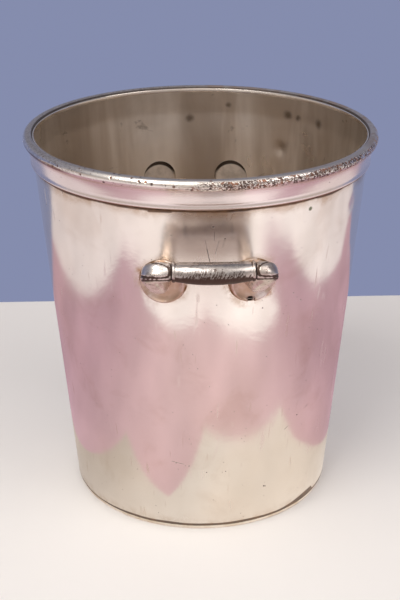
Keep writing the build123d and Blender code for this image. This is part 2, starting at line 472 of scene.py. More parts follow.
def cup_centres():
    """The four cup centres on the wall, in millimetres, front pair first."""
    centres = []
    for turn in (0, 180):
        for side in (-1, 1):
            azimuth = radians(turn + side * CUP_AZIMUTH)
            centres.append(from_azimuth(outer_r(CUP_Z), np.array(azimuth), CUP_Z))
    return centres


def scratches(paint, scale, seed_turn, length=14.0):
    """Fine scratches, mostly upright, as a mask."""
    place = paint.stretched((1, 1, 1 / length), (0.05, 0.12, seed_turn))
    return paint.step(paint.noise(scale, 2.0, 0.6, 0.3, place), 0.66, 0.74)


def pits(paint, scale, size, rarity):
    """Scattered tiny round pits: size as a share of their spacing, rarity from 0.5 (many) to 0.7 (few)."""
    spots = paint.cells(scale)
    chance = paint.noise(scale * 0.23, 2.0, 0.5)
    return paint.times(paint.step(spots, size, 0.45 * size), paint.step(chance, rarity, rarity + 0.03))


def chip_shadow(paint):
    """Painted shadow: the black opening where a bit of the lip is gone."""
    return paint.step_mm(paint.near(in_cup(1, -0.7, -11.2)), 2.5, 1.7)


def outside_silver():
    """The body's outer face: warm worn plate, tarnish along the seams, scratches and pits, and a painted dark
    reflection above the front bar.
    """
    p = Paint("shell_outside")
    z = p.axis(2)
    cloud = p.noise(9, 4, 0.55)
    patch = p.noise(38, 4, 0.6, 0.4)
    speckle = p.noise(150, 4, 0.65)
    colour = p.mix(p.step(cloud, 0.38, 0.72), SILVER, SILVER_WARM)
    colour = p.mix(p.times(p.step(patch, 0.50, 0.75), 0.35), colour, (0.72, 0.60, 0.50))
    # Painted reflection: the plate above the front bar is darkened where a dark patch in front of the bucket
    # is mirrored.
    painted_dark_reflection = p.times(p.step_mm(p.math("ABSOLUTE", p.axis(0)), 25, 17),
                        p.step_mm(p.axis(1), 0, -20), p.step_mm(z, 176, 188))
    colour = p.mix(p.times(painted_dark_reflection, 0.62), colour, (0.50, 0.405, 0.36))
    below_lip = p.step_mm(z, BAND_Z + 6, BAND_Z + 3)
    ragged = p.shaken(z, patch, 12)
    under_rim = p.times(p.step_mm(ragged, BAND_Z - 7, BAND_Z - 0.5), below_lip)
    rim_line = p.step_mm(p.shaken(z, patch, 2.4), BAND_Z - 2.3, BAND_Z - 1.4)
    rim_line = p.most(p.times(rim_line, below_lip), p.line(*RIM_SMEAR))
    at_foot = p.step_mm(ragged, 10, 3)
    turn = p.turn()
    strong = p.step(turn, radians(-60), radians(-20))
    wedge = p.times(p.step(turn, radians(34), radians(55)), p.step(turn, radians(59), radians(56.5)))
    foot_level = p.plus(p.shaken(z, patch, 1.6), p.times(p.rest(strong), 0.7 * MM))
    foot_line = p.step_mm(p.less(foot_level, p.times(wedge, 2.8 * MM)), 4.7, 4.1)
    halo = p.most(*[p.step_mm(p.shaken(p.near(centre), patch, 16), CUP_R + 5.0, CUP_R + 0.2)
                    for centre in cup_centres()])
    stronger = p.most(*[p.step_mm(p.shaken(p.near(spot), patch, 6), 1.6 * size, 0.3 * size)
                        for spot, size in ORANGE_SPOTS])
    halo = p.times(halo, p.step(speckle, 0.30, 0.60), p.blend(stronger, 0.42, 0.95))
    brown = p.most(p.times(under_rim, p.step(speckle, 0.10, 0.70), 0.60),
                   p.times(at_foot, p.step(speckle, 0.30, 0.70), 0.35), halo)
    colour = p.mix(brown, colour, TARNISH)
    long_marks = scratches(p, 260, 0.4)
    short_marks = scratches(p, 180, 1.9, 7.0)
    colour = p.mix(p.times(long_marks, 0.18), colour, TARNISH)
    specks = p.most(pits(p, 150, 0.075, 0.57), pits(p, 330, 0.11, 0.58),
                    *[p.step_mm(p.near(spot), size, 0.4 * size) for spot, size in DARK_SPOTS])
    gouges = p.most(*[p.line(*mark) for mark in SCRATCH_LINES])
    colour = p.mix(p.times(specks, 0.8), colour, GRIME_AND_SHADOW)
    colour = p.mix(p.times(gouges, 0.85), colour, GRIME_AND_SHADOW)
    lines = p.most(p.times(rim_line, 0.88), p.times(foot_line, 0.86))
    colour = p.mix(lines, colour, p.mix(p.step(speckle, 0.3, 0.7), (0.055, 0.026, 0.016), (0.20, 0.11, 0.06)))
    green = p.step_mm(p.near(GREEN_SPOT), 1.7, 0.7)
    colour = p.mix(p.times(green, 0.85), colour, VERDIGRIS)
    hazy = p.step_mm(p.near(on_wall(0, 193)), 52, 22)
    roughness = p.blend(p.step(cloud, 0.3, 0.7), 0.11, 0.17)
    roughness = p.plus(roughness, p.times(hazy, 0.10))
    roughness = p.plus(roughness, p.times(p.most(brown, long_marks, short_marks), 0.14))
    roughness = p.math("ADD", roughness, p.times(p.most(specks, lines), 0.3), clamp=True)
    height = p.plus(p.times(patch, 0.50), p.times(speckle, 0.06))
    height = p.less(height, p.times(p.most(specks, gouges), 0.35))
    height = p.less(height, p.times(p.most(long_marks, short_marks), 0.03))
    return p.finish(colour, roughness, height, 0.17)


def inside_silver():
    """The inner face: grey-brown tarnish in upright streaks, darker stains and dull patches."""
    p = Paint("shell_inside")
    streak = p.noise(26, 4, 0.6, 0.3, p.stretched((1, 1, 0.16)))
    cloud = p.noise(14, 4, 0.6, 0.5)
    stain = p.noise(52, 5, 0.65, 0.6)
    colour = p.mix(p.step(streak, 0.36, 0.64), (0.64, 0.55, 0.465), (0.97, 0.90, 0.82))
    colour = p.mix(p.times(p.step(cloud, 0.45, 0.75), 0.35), colour, (0.40, 0.31, 0.23))
    away = p.math("ABSOLUTE", p.less(p.axis(0), DARK_STREAK_X * MM))
    streaked = p.times(p.step_mm(away, 20, 8), p.step(p.axis(1), 0.0, 0.03))
    near_lip = p.step_mm(p.axis(2), BAND_Z - 12, LIP_Z)
    colour = p.mix(p.most(p.times(streaked, 0.45), p.times(near_lip, 0.28)), colour, (0.40, 0.33, 0.275))
    spots = p.times(p.step(stain, 0.66, 0.72), 0.4)
    for spot, size in INNER_STAINS:
        gap = p.shaken(p.near(spot), stain, 7)
        spots = p.most(spots, p.times(p.step_mm(gap, 1.9 * size, 0.2 * size), 0.7))
    colour = p.mix(spots, colour, (0.10, 0.07, 0.05))
    roughness = p.blend(p.step(cloud, 0.3, 0.7), 0.26, 0.38)
    height = p.plus(p.times(streak, 0.4), p.times(p.noise(240, 3, 0.6), 0.08))
    return p.finish(colour, roughness, height, 0.10)


def bead_silver():
    """The bead: plate dulled on top, eaten through to copper along the front right."""
    p = Paint("bead_plate")
    z, turn = p.axis(2), p.turn()
    worn = p.times(p.step(turn, radians(-14), radians(6)), p.step(turn, radians(84), radians(60)))
    fine = p.noise(1000, 1, 0.4, 0.9)
    coarse = p.noise(110, 3, 0.6)
    top = p.times(p.step_mm(p.radius(), BEAD_R + 2.5, BEAD_R + 1.5),
                  p.step_mm(z, BEAD_Z, BEAD_Z + 1))
    limit = p.less(p.blend(worn, 0.72, 0.49), p.times(p.less(coarse, 0.5), 0.30))
    limit = p.plus(limit, p.times(top, 0.25))
    eaten = p.step(p.less(fine, limit), 0.0, 0.015)
    grains = p.times(p.step(p.cells(1050), 0.44, 0.30), p.step(coarse, 0.36, 0.46), worn)
    eaten = p.most(eaten, p.times(grains, p.rest(top)))
    front_left = p.times(p.step(turn, radians(-66), radians(-54)), p.step(turn, radians(8), radians(-4)))
    eaten = p.most(eaten, p.times(pits(p, 300, 0.32, 0.38), front_left))
    under = p.step_mm(p.shaken(z, coarse, 1.8), BEAD_Z + 0.3, BEAD_Z - 0.5)
    crack = p.times(under, p.step(turn, radians(-42), radians(-52)), p.step(turn, radians(-95), radians(-80)),
                    p.step(coarse, 0.22, 0.36))
    left_grain = p.times(p.step(turn, radians(-30), radians(-56)), p.step(fine, 0.47, 0.62))
    far_right = p.times(p.step(turn, radians(58), radians(74)), p.step(coarse, 0.42, 0.60))
    groove = p.times(p.step_mm(p.shaken(p.radius(), coarse, 0.5), LIP_R + 0.75, LIP_R + 0.35),
                     p.step_mm(z, BEAD_Z, BEAD_Z + 1.5))
    colour = p.mix(p.step(p.noise(30, 4, 0.6), 0.35, 0.7), SILVER, (0.80, 0.74, 0.69))
    colour = p.mix(p.times(top, 0.7), colour, (0.52, 0.49, 0.49))
    colour = p.mix(p.times(far_right, 0.55), colour, (0.34, 0.21, 0.15))
    colour = p.mix(p.times(left_grain, 0.5), colour, (0.20, 0.17, 0.16))
    bare = p.mix(p.step(p.noise(260, 2), 0.35, 0.6), COPPER, (0.07, 0.03, 0.022))
    colour = p.mix(p.times(eaten, 0.92), colour, bare)
    colour = p.mix(p.times(crack, 0.9), colour, p.mix(fine, GRIME_AND_SHADOW, COPPER))
    colour = p.mix(p.times(groove, 0.8), colour, GRIME_AND_SHADOW)
    roughness = p.most(p.blend(top, 0.20, 0.36), p.times(p.most(eaten, groove, far_right), 0.5))
    height = p.less(p.times(coarse, 0.5), p.times(p.most(eaten, crack), 0.8))
    return p.finish(colour, roughness, height, 0.18)


def band_silver():
    """The cove moulding: polished, tinted pink as a painted reflection of the pink surroundings, with brown
    in the corner under the bead.
    """
    p = Paint("band_plate")
    z = p.axis(2)
    cloud = p.noise(24, 4, 0.6, 0.3)
    # Painted reflection: both plate colours are tinted pink to stand in for the pink surroundings the cove
    # mirrors.
    colour = p.mix(p.step(cloud, 0.35, 0.7), (0.91, 0.82, 0.79), (0.84, 0.74, 0.68))
    corner = p.times(p.step_mm(z, 220.6, 223.2), p.step(cloud, 0.25, 0.6))
    low = p.times(p.step_mm(z, BAND_Z + 1.0, BAND_Z), 0.8)
    brown = p.most(p.times(corner, 0.5), low)
    colour = p.mix(brown, colour, TARNISH)
    specks = pits(p, 260, 0.10, 0.60)
    colour = p.mix(p.times(specks, 0.8), colour, GRIME_AND_SHADOW)
    roughness = p.plus(p.blend(cloud, 0.20, 0.28), p.times(brown, 0.2))
    height = p.less(p.times(p.noise(60, 3, 0.5), 0.5), p.times(specks, 0.4))
    return p.finish(colour, roughness, height, 0.12)


def solder():
    """Old solder along the seams: dark brown, lumpy and dull."""
    p = Paint("seam_solder")
    lump = p.noise(180, 4, 0.65)
    colour = p.mix(p.step(lump, 0.35, 0.65), (0.07, 0.038, 0.022), (0.22, 0.13, 0.07))
    return p.finish(colour, p.blend(lump, 0.40, 0.65), lump, 0.5, metallic=0.8)


def cup_solder_paint():
    """Solder round the cups: mostly rubbed bright, browned in places, with painted shadow where the lip is
    chipped.
    """
    p = Paint("cup_solder")
    lump = p.noise(130, 4, 0.65)
    colour = p.mix(p.step(lump, 0.36, 0.58), (0.60, 0.49, 0.42), (0.22, 0.115, 0.05))
    # Painted shadow in the opening of the chipped lip.
    colour = p.mix(chip_shadow(p), colour, SHADOW_BLACK)
    return p.finish(colour, p.blend(lump, 0.25, 0.50), lump, 0.3)


def cup_silver():
    """The dished cups: thin bright plate, clouded with brown, darker on the upper lip, with painted shadow
    where the lip is chipped.
    """
    p = Paint("cup_plate")
    cloud = p.noise(60, 4, 0.6, 0.4)
    colour = p.mix(p.step(cloud, 0.35, 0.70), (0.93, 0.835, 0.85), (0.76, 0.64, 0.64))
    upper_lip = p.step_mm(p.axis(2), CUP_Z + 8, CUP_Z + 11)
    colour = p.mix(p.times(upper_lip, 0.7), colour, (0.50, 0.43, 0.43))
    colour = p.mix(p.times(p.step(cloud, 0.3, 0.6), 0.7), colour, TARNISH)
    specks = p.most(pits(p, 300, 0.12, 0.58), *[p.line(*crack) for crack in CUP_CRACKS])
    colour = p.mix(p.times(specks, 0.85), colour, GRIME_AND_SHADOW)
    # Painted shadow in the opening of the chipped lip.
    colour = p.mix(chip_shadow(p), colour, SHADOW_BLACK)
    roughness = p.plus(p.blend(cloud, 0.32, 0.44), p.times(specks, 0.2))
    height = p.less(p.times(cloud, 0.6), p.times(specks, 0.3))
    return p.finish(colour, roughness, height, 0.22)


def recess_dark():
    """The hollow side of the cups: dull like the inner face, with a painted shadow, nearly black, along the
    top of its corner.
    """
    p = Paint("recess_dull_and_shadow")
    lump = p.noise(150, 4, 0.6)
    colour = p.mix(p.step(lump, 0.35, 0.65), (0.56, 0.48, 0.41), (0.72, 0.63, 0.55))
    # Painted shadow: dark crescents under the top edge of each hole, where the wall's edge shades the hollow.
    upper = p.step_mm(p.axis(2), CUP_Z + 1, CUP_Z + 6)
    shadow_crescents = []
    for x, y, z in cup_centres():
        away = p.near((x * 1.006, y, z - 2.4))
        shadow_crescents.append(p.times(p.step_mm(away, 10.7, 11.5), p.step_mm(away, 18, 17), upper))
    colour = p.mix(p.times(p.most(*shadow_crescents), 0.95), colour, GRIME_AND_SHADOW)
    return p.finish(colour, p.blend(lump, 0.38, 0.50), lump, 0.15)


def cut_edge():
    """The edge of the wall round a cup's hole: painted shadow, nearly black, along its upper part, lighter
    dull plate below.
    """
    p = Paint("cut_edge_shadow")
    lump = p.noise(200, 4, 0.6)
    # Painted shadow: the upper part of the edge is painted nearly black where the hole's top shades it.
    upper = p.step_mm(p.axis(2), CUP_Z + 4, CUP_Z + 8)
    dark = p.mix(lump, (0.02, 0.014, 0.010), (0.09, 0.06, 0.04))
    colour = p.mix(upper, (0.62, 0.54, 0.46), dark)
    return p.finish(colour, p.blend(lump, 0.50, 0.70), lump, 0.2)


def cast_silver():
    """The cast bar, collars and arms: bright on top, with painted shade darkening their undersides, hammered
    and pitted, dark in the hollows.
    """
    p = Paint("cast_silver")
    cloud = p.noise(45, 4, 0.6, 0.4)
    dent = p.noise(170, 3, 0.55, 0.6)
    fine = p.noise(520, 4, 0.65)
    grime_and_shade = p.grime_and_shade()
    colour = p.mix(p.step(cloud, 0.36, 0.70), (0.80, 0.745, 0.71), (0.58, 0.50, 0.45))
    specks = p.step(p.plus(fine, p.times(dent, 0.25)), 0.75, 0.80)
    film = p.times(p.step(dent, 0.45, 0.70), 0.45)
    colour = p.mix(film, colour, (0.30, 0.21, 0.15))
    edge = p.plus(grime_and_shade, p.times(p.less(fine, 0.5), p.step(grime_and_shade, 0.05, 0.35), 0.9))
    grip = p.step_mm(p.math("ABSOLUTE", p.axis(0)), BAR_HALF + 1.5, BAR_HALF - 4)
    colour = p.mix(p.times(grip, 0.76), colour, (0.34, 0.305, 0.29))
    # Dark pits and the per-point mask: dirt in grooves and joints, and painted shade on the undersides.
    dark = p.most(p.times(specks, 0.8), p.times(p.step(edge, 0.28, 0.70), 0.95))
    colour = p.mix(dark, colour, (0.075, 0.045, 0.034))
    roughness = p.math("ADD", p.blend(cloud, 0.22, 0.34), p.times(dark, 0.22), clamp=True)
    height = p.less(p.plus(p.times(dent, 0.6), p.times(fine, 0.14)), p.times(specks, 0.3))
    return p.finish(colour, roughness, height, 0.30)


def foot_silver():
    """The foot ring: rubbed bright on its edge, brown above."""
    p = Paint("foot_plate")
    cloud = p.noise(60, 4, 0.6)
    colour = p.mix(p.step(cloud, 0.4, 0.7), (0.95, 0.88, 0.76), (0.72, 0.60, 0.45))
    colour = p.mix(p.step_mm(p.shaken(p.axis(2), cloud, 0.6), 1.8, 2.15), colour, (0.10, 0.055, 0.03))
    return p.finish(colour, p.blend(cloud, 0.25, 0.45), p.noise(140, 3), 0.15)


def floor_silver():
    """The bucket's floor, dull and spotted by water."""
    p = Paint("floor_plate")
    cloud = p.noise(22, 5, 0.65, 0.6)
    spots = p.step(p.noise(120, 4, 0.6), 0.62, 0.7)
    colour = p.mix(p.step(cloud, 0.3, 0.7), (0.42, 0.35, 0.28), (0.70, 0.63, 0.55))
    colour = p.mix(p.times(spots, 0.5), colour, (0.12, 0.08, 0.05))
    return p.finish(colour, p.blend(cloud, 0.3, 0.5), p.noise(80, 4), 0.25)


# ---------------------------------------------------------------- the body

COLUMNS = 420
WINDOW_COLUMNS = 12        # half the width and height of the part of the grid replaced round a hole
WINDOW_ROWS = 8
HOLE_RINGS = (0.80, 0.62, 0.45, 0.30, 0.17, 0.07, 0.0)
HOLE_CENTRES = [(radians(turn + side * CUP_AZIMUTH), CUP_Z) for turn in (0, 180) for side in (-1, 1)]

# Dents in the wall: azimuth in degrees, height, radius and depth in mm, depth outwards positive
DENTS = [
    (69, 176, 17, -0.30), (76, 158, 12, -0.18), (60, 196, 8, -0.25),
    (42, 62, 15, -0.25), (27, 50, 13, 0.18), (14, 43, 11, -0.16), (-33, 128, 22, -0.22),
    (-71, 130, 20, 0.45), (-58, 70, 18, -0.30), (8, 105, 26, 0.16), (48, 118, 20, -0.22),
    (144.5, 191, 5, 0.85), (120, 96, 20, -0.35), (-140, 60, 16, -0.30), (-105, 170, 18, 0.30),
    (165, 120, 14, -0.25), (-160, 205, 10, 0.2), (100, 40, 14, 0.25),
]


def wall_shift(azimuth, z):
    """How far the wall stands in or out of its true cone: long waves, ripples and dents."""
    calm = np.ones(np.broadcast(azimuth, z).shape)
    for centre, height in HOLE_CENTRES:
        calm = calm * smooth(13, 24, np.hypot(wrapped(azimuth - centre) * 95, z - height))
    calm = calm * smooth(3, 16, z) * smooth(BAND_Z - 1, BAND_Z - 10, z)
    shift = 0.14 * ripple(azimuth, z * 0.6, 3, 120) + 0.022 * ripple(azimuth, z * 0.5, 5, 42)
    for centre, height, radius, depth in DENTS:
        apart = wrapped(azimuth - radians(centre))
        away = np.hypot(apart * outer_r(height), z - height) / radius
        shift = shift + depth * np.exp(-(away * 1.5) ** 2)
    return shift * calm


def body_shell(outside, inside, cut):
    """The tapered sheet with its lip and its four holes, as one closed skin."""
    heights = np.concatenate([np.linspace(SHELL_BOTTOM_Z, BAND_Z, 94),
                              np.linspace(BAND_Z, LIP_Z - 0.4, 9)[1:]])
    lip = [(LIP_R - 0.12, LIP_Z - 0.1), (LIP_R - 0.35, LIP_Z), (LIP_R - SHELL_T + 0.35, LIP_Z),
           (LIP_R - SHELL_T + 0.12, LIP_Z - 0.1)]
    azimuth = round_steps(COLUMNS)
    angle, height = np.meshgrid(azimuth, heights)
    skin_r = outer_r(height) + wall_shift(angle, height)
    outer = from_azimuth(skin_r, angle, height)
    inner = from_azimuth(skin_r - SHELL_T, angle, height)[::-1]
    top = np.stack([from_azimuth(np.full(COLUMNS, r), azimuth, np.full(COLUMNS, z)) for r, z in lip])
    points = [np.concatenate([outer, top, inner]).reshape(-1, 3)]
    total = 2 * len(heights) + len(lip)
    windows = [hole_window(centre, heights) for centre, _ in HOLE_CENTRES]
    faces = []
    for number, face in enumerate(grid_faces(total, COLUMNS)):
        row, column = divmod(number, COLUMNS)
        mirrored = total - 2 - row
        if not any(in_window(row, column, w) or in_window(mirrored, column, w) for w in windows):
            faces.append(face)
    used = total * COLUMNS
    for window, (centre, level) in zip(windows, HOLE_CENTRES):
        rim_cells = window_edge(window)
        loops = []
        for skin in (0, 1):
            corners = [((total - 1 - r) if skin else r) * COLUMNS + c % COLUMNS for r, c in rim_cells]
            across = np.array([wrapped(c * 2 * pi / COLUMNS - centre) for _, c in rim_cells])
            rise = np.array([heights[r] for r, _ in rim_cells]) - level
            facing = np.arctan2(rise, across * outer_r(level))
            previous = corners
            for share in HOLE_RINGS:
                turn = centre + across * share + (1 - share) * CUP_HOLLOW_R * np.cos(facing) / outer_r(level)
                z = level + rise * share + (1 - share) * CUP_HOLLOW_R * np.sin(facing)
                radius = outer_r(z) + wall_shift(turn, z) - SHELL_T * skin
                points.append(from_azimuth(radius, turn, z))
                ring = list(range(used, used + len(corners)))
                used += len(corners)
                faces += strip(previous, ring)
                previous = ring
            loops.append(previous)
        faces += strip(*loops)
    obj = mesh_object("shell", np.vstack(points), faces)
    paint_sides(obj)
    return show(obj, "body_shell", outside, inside, cut)


def hole_window(centre, heights):
    """First and last row and column of the part of the grid that is replaced round a hole."""
    middle = round((centre % (2 * pi)) / (2 * pi) * COLUMNS)
    row = int(np.argmin(np.abs(heights - CUP_Z)))
    return row - WINDOW_ROWS, row + WINDOW_ROWS, middle - WINDOW_COLUMNS, middle + WINDOW_COLUMNS


def in_window(row, column, window):
    first_row, last_row, first_column, last_column = window
    if not first_row <= row < last_row:
        return False
    return (column - first_column) % COLUMNS < last_column - first_column


def window_edge(window):
    """The grid points round a window, in order."""
    first_row, last_row, first_column, last_column = window
    edge = [(first_row, c) for c in range(first_column, last_column)]
    edge += [(r, last_column) for r in range(first_row, last_row)]
    edge += [(last_row, c) for c in range(last_column, first_column, -1)]
    edge += [(r, first_column) for r in range(last_row, first_row, -1)]
    return edge


def strip(first, second):
    """Quads between two closed loops of the same length."""
    count = len(first)
    return [(first[k], first[(k + 1) % count], second[(k + 1) % count], second[k]) for k in range(count)]


def paint_sides(obj):
    """Slot 0 for faces that look outwards, 1 inwards, 2 for the cut edges of the holes."""
    for face in obj.data.polygons:
        x, y, z = face.center
        facing = (face.normal.x * x + face.normal.y * y) / hypot(x, y)
        if z > (BAND_Z + 8) * MM:
            face.material_index = 0 if z > (LIP_Z - 2.5) * MM or facing > 0 else 1
        elif facing < -0.5:
            face.material_index = 1
        elif abs(facing) <= 0.5:
            face.material_index = 2


def rim_bead(material):
    """The bead, a little dented and no longer quite round."""
    cut = degrees(asin((BEAD_R - LIP_R) / BEAD_SECTION_R))
    profile = arc_points((BEAD_R, BEAD_Z), BEAD_SECTION_R, -90 - cut, 90 + cut, 40)

    def uneven(azimuth, height):
        out = 0.10 * ripple(azimuth, height * 2, 11, 60) + 0.035 * ripple(azimuth, height * 3, 12, 16)
        return -np.abs(out) * smooth(BEAD_Z - 3.1, BEAD_Z, height)

    return show(ring_object("bead", profile, 480, uneven), "rim_bead", material)


def rim_band(material):
    """The cove: a rounded lower edge, a hollow and a sweep out to the bead."""
    top = BEAD_Z - BEAD_SECTION_R + 0.35
    spread, rise = BAND_TOP_R - BAND_WAIST_R, top - BAND_WAIST_Z
    outline = curve_through([
        (BAND_FOOT_R - 0.6, BAND_Z), (BAND_FOOT_R - 0.05, BAND_Z + 0.45), (BAND_FOOT_R, BAND_Z + 1.2),
        (BAND_WAIST_R, BAND_WAIST_Z), (BAND_WAIST_R + 0.18 * spread, BAND_WAIST_Z + 0.26 * rise),
        (BAND_WAIST_R + 0.45 * spread, BAND_WAIST_Z + 0.56 * rise),
        (BAND_WAIST_R + 0.74 * spread, BAND_WAIST_Z + 0.81 * rise), (BAND_TOP_R, top),
    ], 34)
    back = [(LIP_R + 0.02, BEAD_Z - 1.5), (outer_r(BAND_Z) + 0.02, BAND_Z + 0.02)]
    profile = np.vstack([outline, back])

    def uneven(azimuth, height):
        return -np.abs(0.05 * ripple(azimuth, height * 0.6, 21, 70) + 0.02 * ripple(azimuth, height, 22, 25))

    return show(ring_object("band", profile, 480, uneven), "rim_band", material)


def rim_seam(material):
    """Solder that has run unevenly along the foot of the band."""
    wall = outer_r(BAND_Z)
    profile = [
        (wall - 0.02, BAND_Z + 0.02), (wall + 1.35, BAND_Z - 0.02), (wall + 1.0, BAND_Z - 0.35),
        (wall + 0.5, BAND_Z - 0.6), (wall + 0.12, BAND_Z - 0.95), (wall - 0.12, BAND_Z - 1.25),
    ]

    def uneven(azimuth, height):
        free = smooth(BAND_Z - 0.01, BAND_Z - 0.3, height) * smooth(BAND_Z - 1.25, BAND_Z - 1.0, height)
        return -0.28 * np.abs(ripple(azimuth, height, 31, 14)) * free

    return show(ring_object("rim_solder", profile, 480, uneven), "rim_seam", material)


def foot_ring(material):
    """The ring it stands on, with rounded corners, a little worn."""
    low, high = FOOT_R - FOOT_WIDTH + FOOT_ROUND, FOOT_R - FOOT_ROUND
    corners = ((high, FOOT_ROUND, -90, 6), (high, FOOT_H - FOOT_ROUND, 0, 6),
               (low, FOOT_H - FOOT_ROUND, 90, 5), (low, FOOT_ROUND, 180, 5))
    profile = np.vstack([arc_points((r, z), FOOT_ROUND, start, start + 90, count)
                         for r, z, start, count in corners])

    def uneven(azimuth, height):
        return -0.12 * np.abs(ripple(azimuth, height, 41, 50))

    return show(ring_object("foot", profile, 420, uneven), "foot_ring", material)


def foot_seam(material):
    """Solder between the wall and the foot, set back from the foot's face."""
    top = SHELL_BOTTOM_Z
    profile = [
        (FOOT_R - 3.4, FOOT_H), (FOOT_R - 0.75, FOOT_H + 0.01), (FOOT_R - 0.55, (FOOT_H + top) / 2),
        (FOOT_R - 0.5, top - 0.01), (FOOT_R - 3.4, top),
    ]

    def uneven(azimuth, height):
        return -0.25 * np.abs(ripple(azimuth, height, 51, 18)) * (height > FOOT_H) * (height < top)

    return show(ring_object("foot_solder", profile, 420, uneven), "foot_seam", material)


def bottom_plate(material):
    """The pan with its shallow step and turned-down flange, slightly sagged and dinged."""
    low, high = floor_low.z, floor_high.z
    lower = high - FLOOR_STEP_H
    under = lower - FLOOR_T
    edge = outer_r(lower) - SHELL_T - 0.02
    foot = outer_r(low) - SHELL_T - 0.02
    inner = edge - FLOOR_T
    top = [(0.01, high), (FLOOR_STEP_R - 1, high), (FLOOR_STEP_R + 1, high - 0.5),
           (FLOOR_STEP_R + 3, lower), (FLOOR_STEP_R + 5, lower), (edge - 0.6, lower), (edge, lower - 0.5)]
    below = [(foot, low), (foot - FLOOR_T, low), (inner - 0.3, under - 0.4), (inner - 0.8, under),
             (FLOOR_STEP_R + 4, under), (FLOOR_STEP_R + 2.4, under + 0.2),
             (FLOOR_STEP_R - 0.4, under + FLOOR_STEP_H), (0.01, under + FLOOR_STEP_H)]
    profile = np.vstack([refine(top, 1.6), refine(below, 1.6)])
    columns = 240
    azimuth = round_steps(columns)[None, :]
    radius = np.repeat(profile[:, :1], columns, 1)
    height = np.repeat(profile[:, 1:], columns, 1)
    flat = smooth(FLOOR_STEP_R, FLOOR_STEP_R - 12, radius)
    sink = 0.25 * ripple(azimuth, radius, 61, 70) * flat - 0.2 * flat
    height = height + np.where(radius < FLOOR_STEP_R, sink * smooth(0, 14, radius), 0)
    points = from_azimuth(radius, azimuth, height).reshape(-1, 3)
    obj = mesh_object("floor_pan", points, grid_faces(len(profile), columns))
    return show(obj, "bottom_plate", material)


def refine(corners, step):
    """The same outline with points no further apart than step."""
    points = [corners[0]]
    for a, b in zip(corners, corners[1:]):
        count = max(1, int(hypot(b[0] - a[0], b[1] - a[1]) / step))
        points += [(a[0] + (b[0] - a[0]) * k / count, a[1] + (b[1] - a[1]) * k / count)
                   for k in range(1, count + 1)]
    return np.array(points)


def bottom_solder(material):
    """The fillet that seals the floor to the wall."""
    low = floor_high.z - FLOOR_STEP_H
    wall = outer_r(low) - SHELL_T
    profile = [(wall, low - 0.02), (wall + 0.18, low + FILLET_LEG), (wall - 0.35, low + 1.5),
               (wall - 0.9, low + 0.8), (wall - 1.6, low + 0.3), (wall - FILLET_LEG, low)]

    def uneven(azimuth, height):
        return 0.25 * np.abs(ripple(azimuth, height, 71, 15)) * (height > low + 0.1) * (height < low + 2)

    return show(ring_object("floor_solder", profile, 360, uneven), "bottom_solder", material)


# ---------------------------------------------------------------- the handles


def cup_frame(side, turn):
    """A cup's centre on the wall, and its directions across, up and out of the wall."""
    azimuth = radians(CUP_AZIMUTH) * side + turn
    origin = from_azimuth(outer_r(CUP_Z), np.array(azimuth), CUP_Z)
    out = np.array([sin(azimuth), -cos(azimuth), -FLARE])
    out /= np.linalg.norm(out)
    across = np.array([cos(azimuth), sin(azimuth), 0])
    return origin, across, np.cross(out, across), out


def place(points, cup):
    """Points given in a cup's own frame, carried to the row frame."""
    origin, across, up, out = cup
    points = np.asarray(points)
    return origin + points[..., :1] * across + points[..., 1:2] * up + points[..., 2:] * out


def wall_level(x, y, cup):
    """How far out of the cup's plane the wall's outer face lies at (x, y)."""
    level = np.zeros(np.broadcast(x, y).shape)
    for _ in range(4):
        world = place(np.stack([x, y, level], -1), cup)
        level = level - (np.hypot(world[..., 0], world[..., 1]) - outer_r(world[..., 2]))
    return level


def polar(radius, turn, height):
    """Points in a cup's own frame from radius, turn in radians and height over the wall."""
    return np.stack([radius * np.cos(turn), radius * np.sin(turn), height + 0 * radius * turn], -1)


def waves_round(around, seed, last, calm):
    """Seeded unevenness round a cup. The higher calm is, the weaker its short waves are."""
    rng = np.random.default_rng(seed)
    return sum(rng.uniform(-1, 1) * np.sin(k * around + rng.uniform(0, 6)) / k ** calm
               for k in range(2, last + 1))


